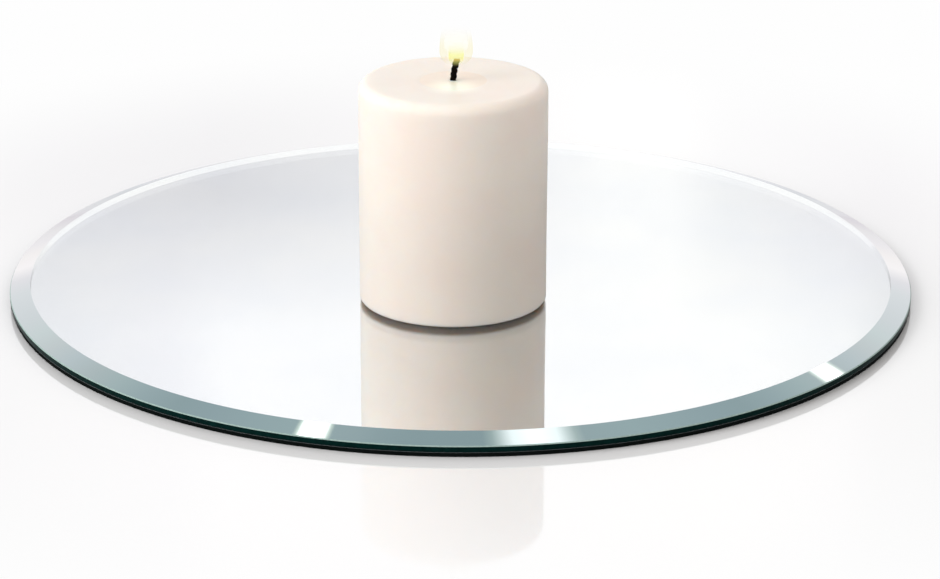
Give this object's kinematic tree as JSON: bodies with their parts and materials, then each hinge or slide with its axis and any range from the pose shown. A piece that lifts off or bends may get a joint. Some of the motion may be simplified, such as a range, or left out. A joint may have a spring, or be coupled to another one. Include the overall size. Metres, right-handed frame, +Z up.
{
  "type": "candle plate",
  "caption": "Round mirror-glass candle plate with a bevelled rim, backed with black felt, carrying a lit ivory pillar candle that lifts off.",
  "frame": {"origin": "on the table under the middle of the plate, at the centre of the bottom of the part's box", "axes": "+Z up through the plate, its shortest extent; +X to the right and -Y to the front, which is the side that the candle stands nearer to"},
  "size_m": [0.3556, 0.3556, 0.1006],
  "materials": {
    "float_glass": "clear float glass with a faint green cast, ground and polished bevel",
    "silvering": "wet-laid silver, seen through the glass",
    "backing_paint": "matt grey mirror backing paint",
    "felt": "pressed black felt",
    "ivory_wax": "smooth cast paraffin wax, satin",
    "cotton_wick": "braided cotton, charred where it stands clear of the wax",
    "tinned_steel": "bright tinplate"
  },
  "bodies": {
    "plate": {"glass_disc": "float_glass", "silver_layer": "silvering", "backing_paint": "backing_paint", "felt_base": "felt"},
    "candle": {"wax_pillar": "ivory_wax", "wick": "cotton_wick", "wick_tab": "tinned_steel"}
  },
  "joints": [
    {"name": "candle_lift", "type": "slide", "parent": "plate", "child": "candle", "axis": [0, 0, 1], "range_m": [0, 0.12]}
  ]
}
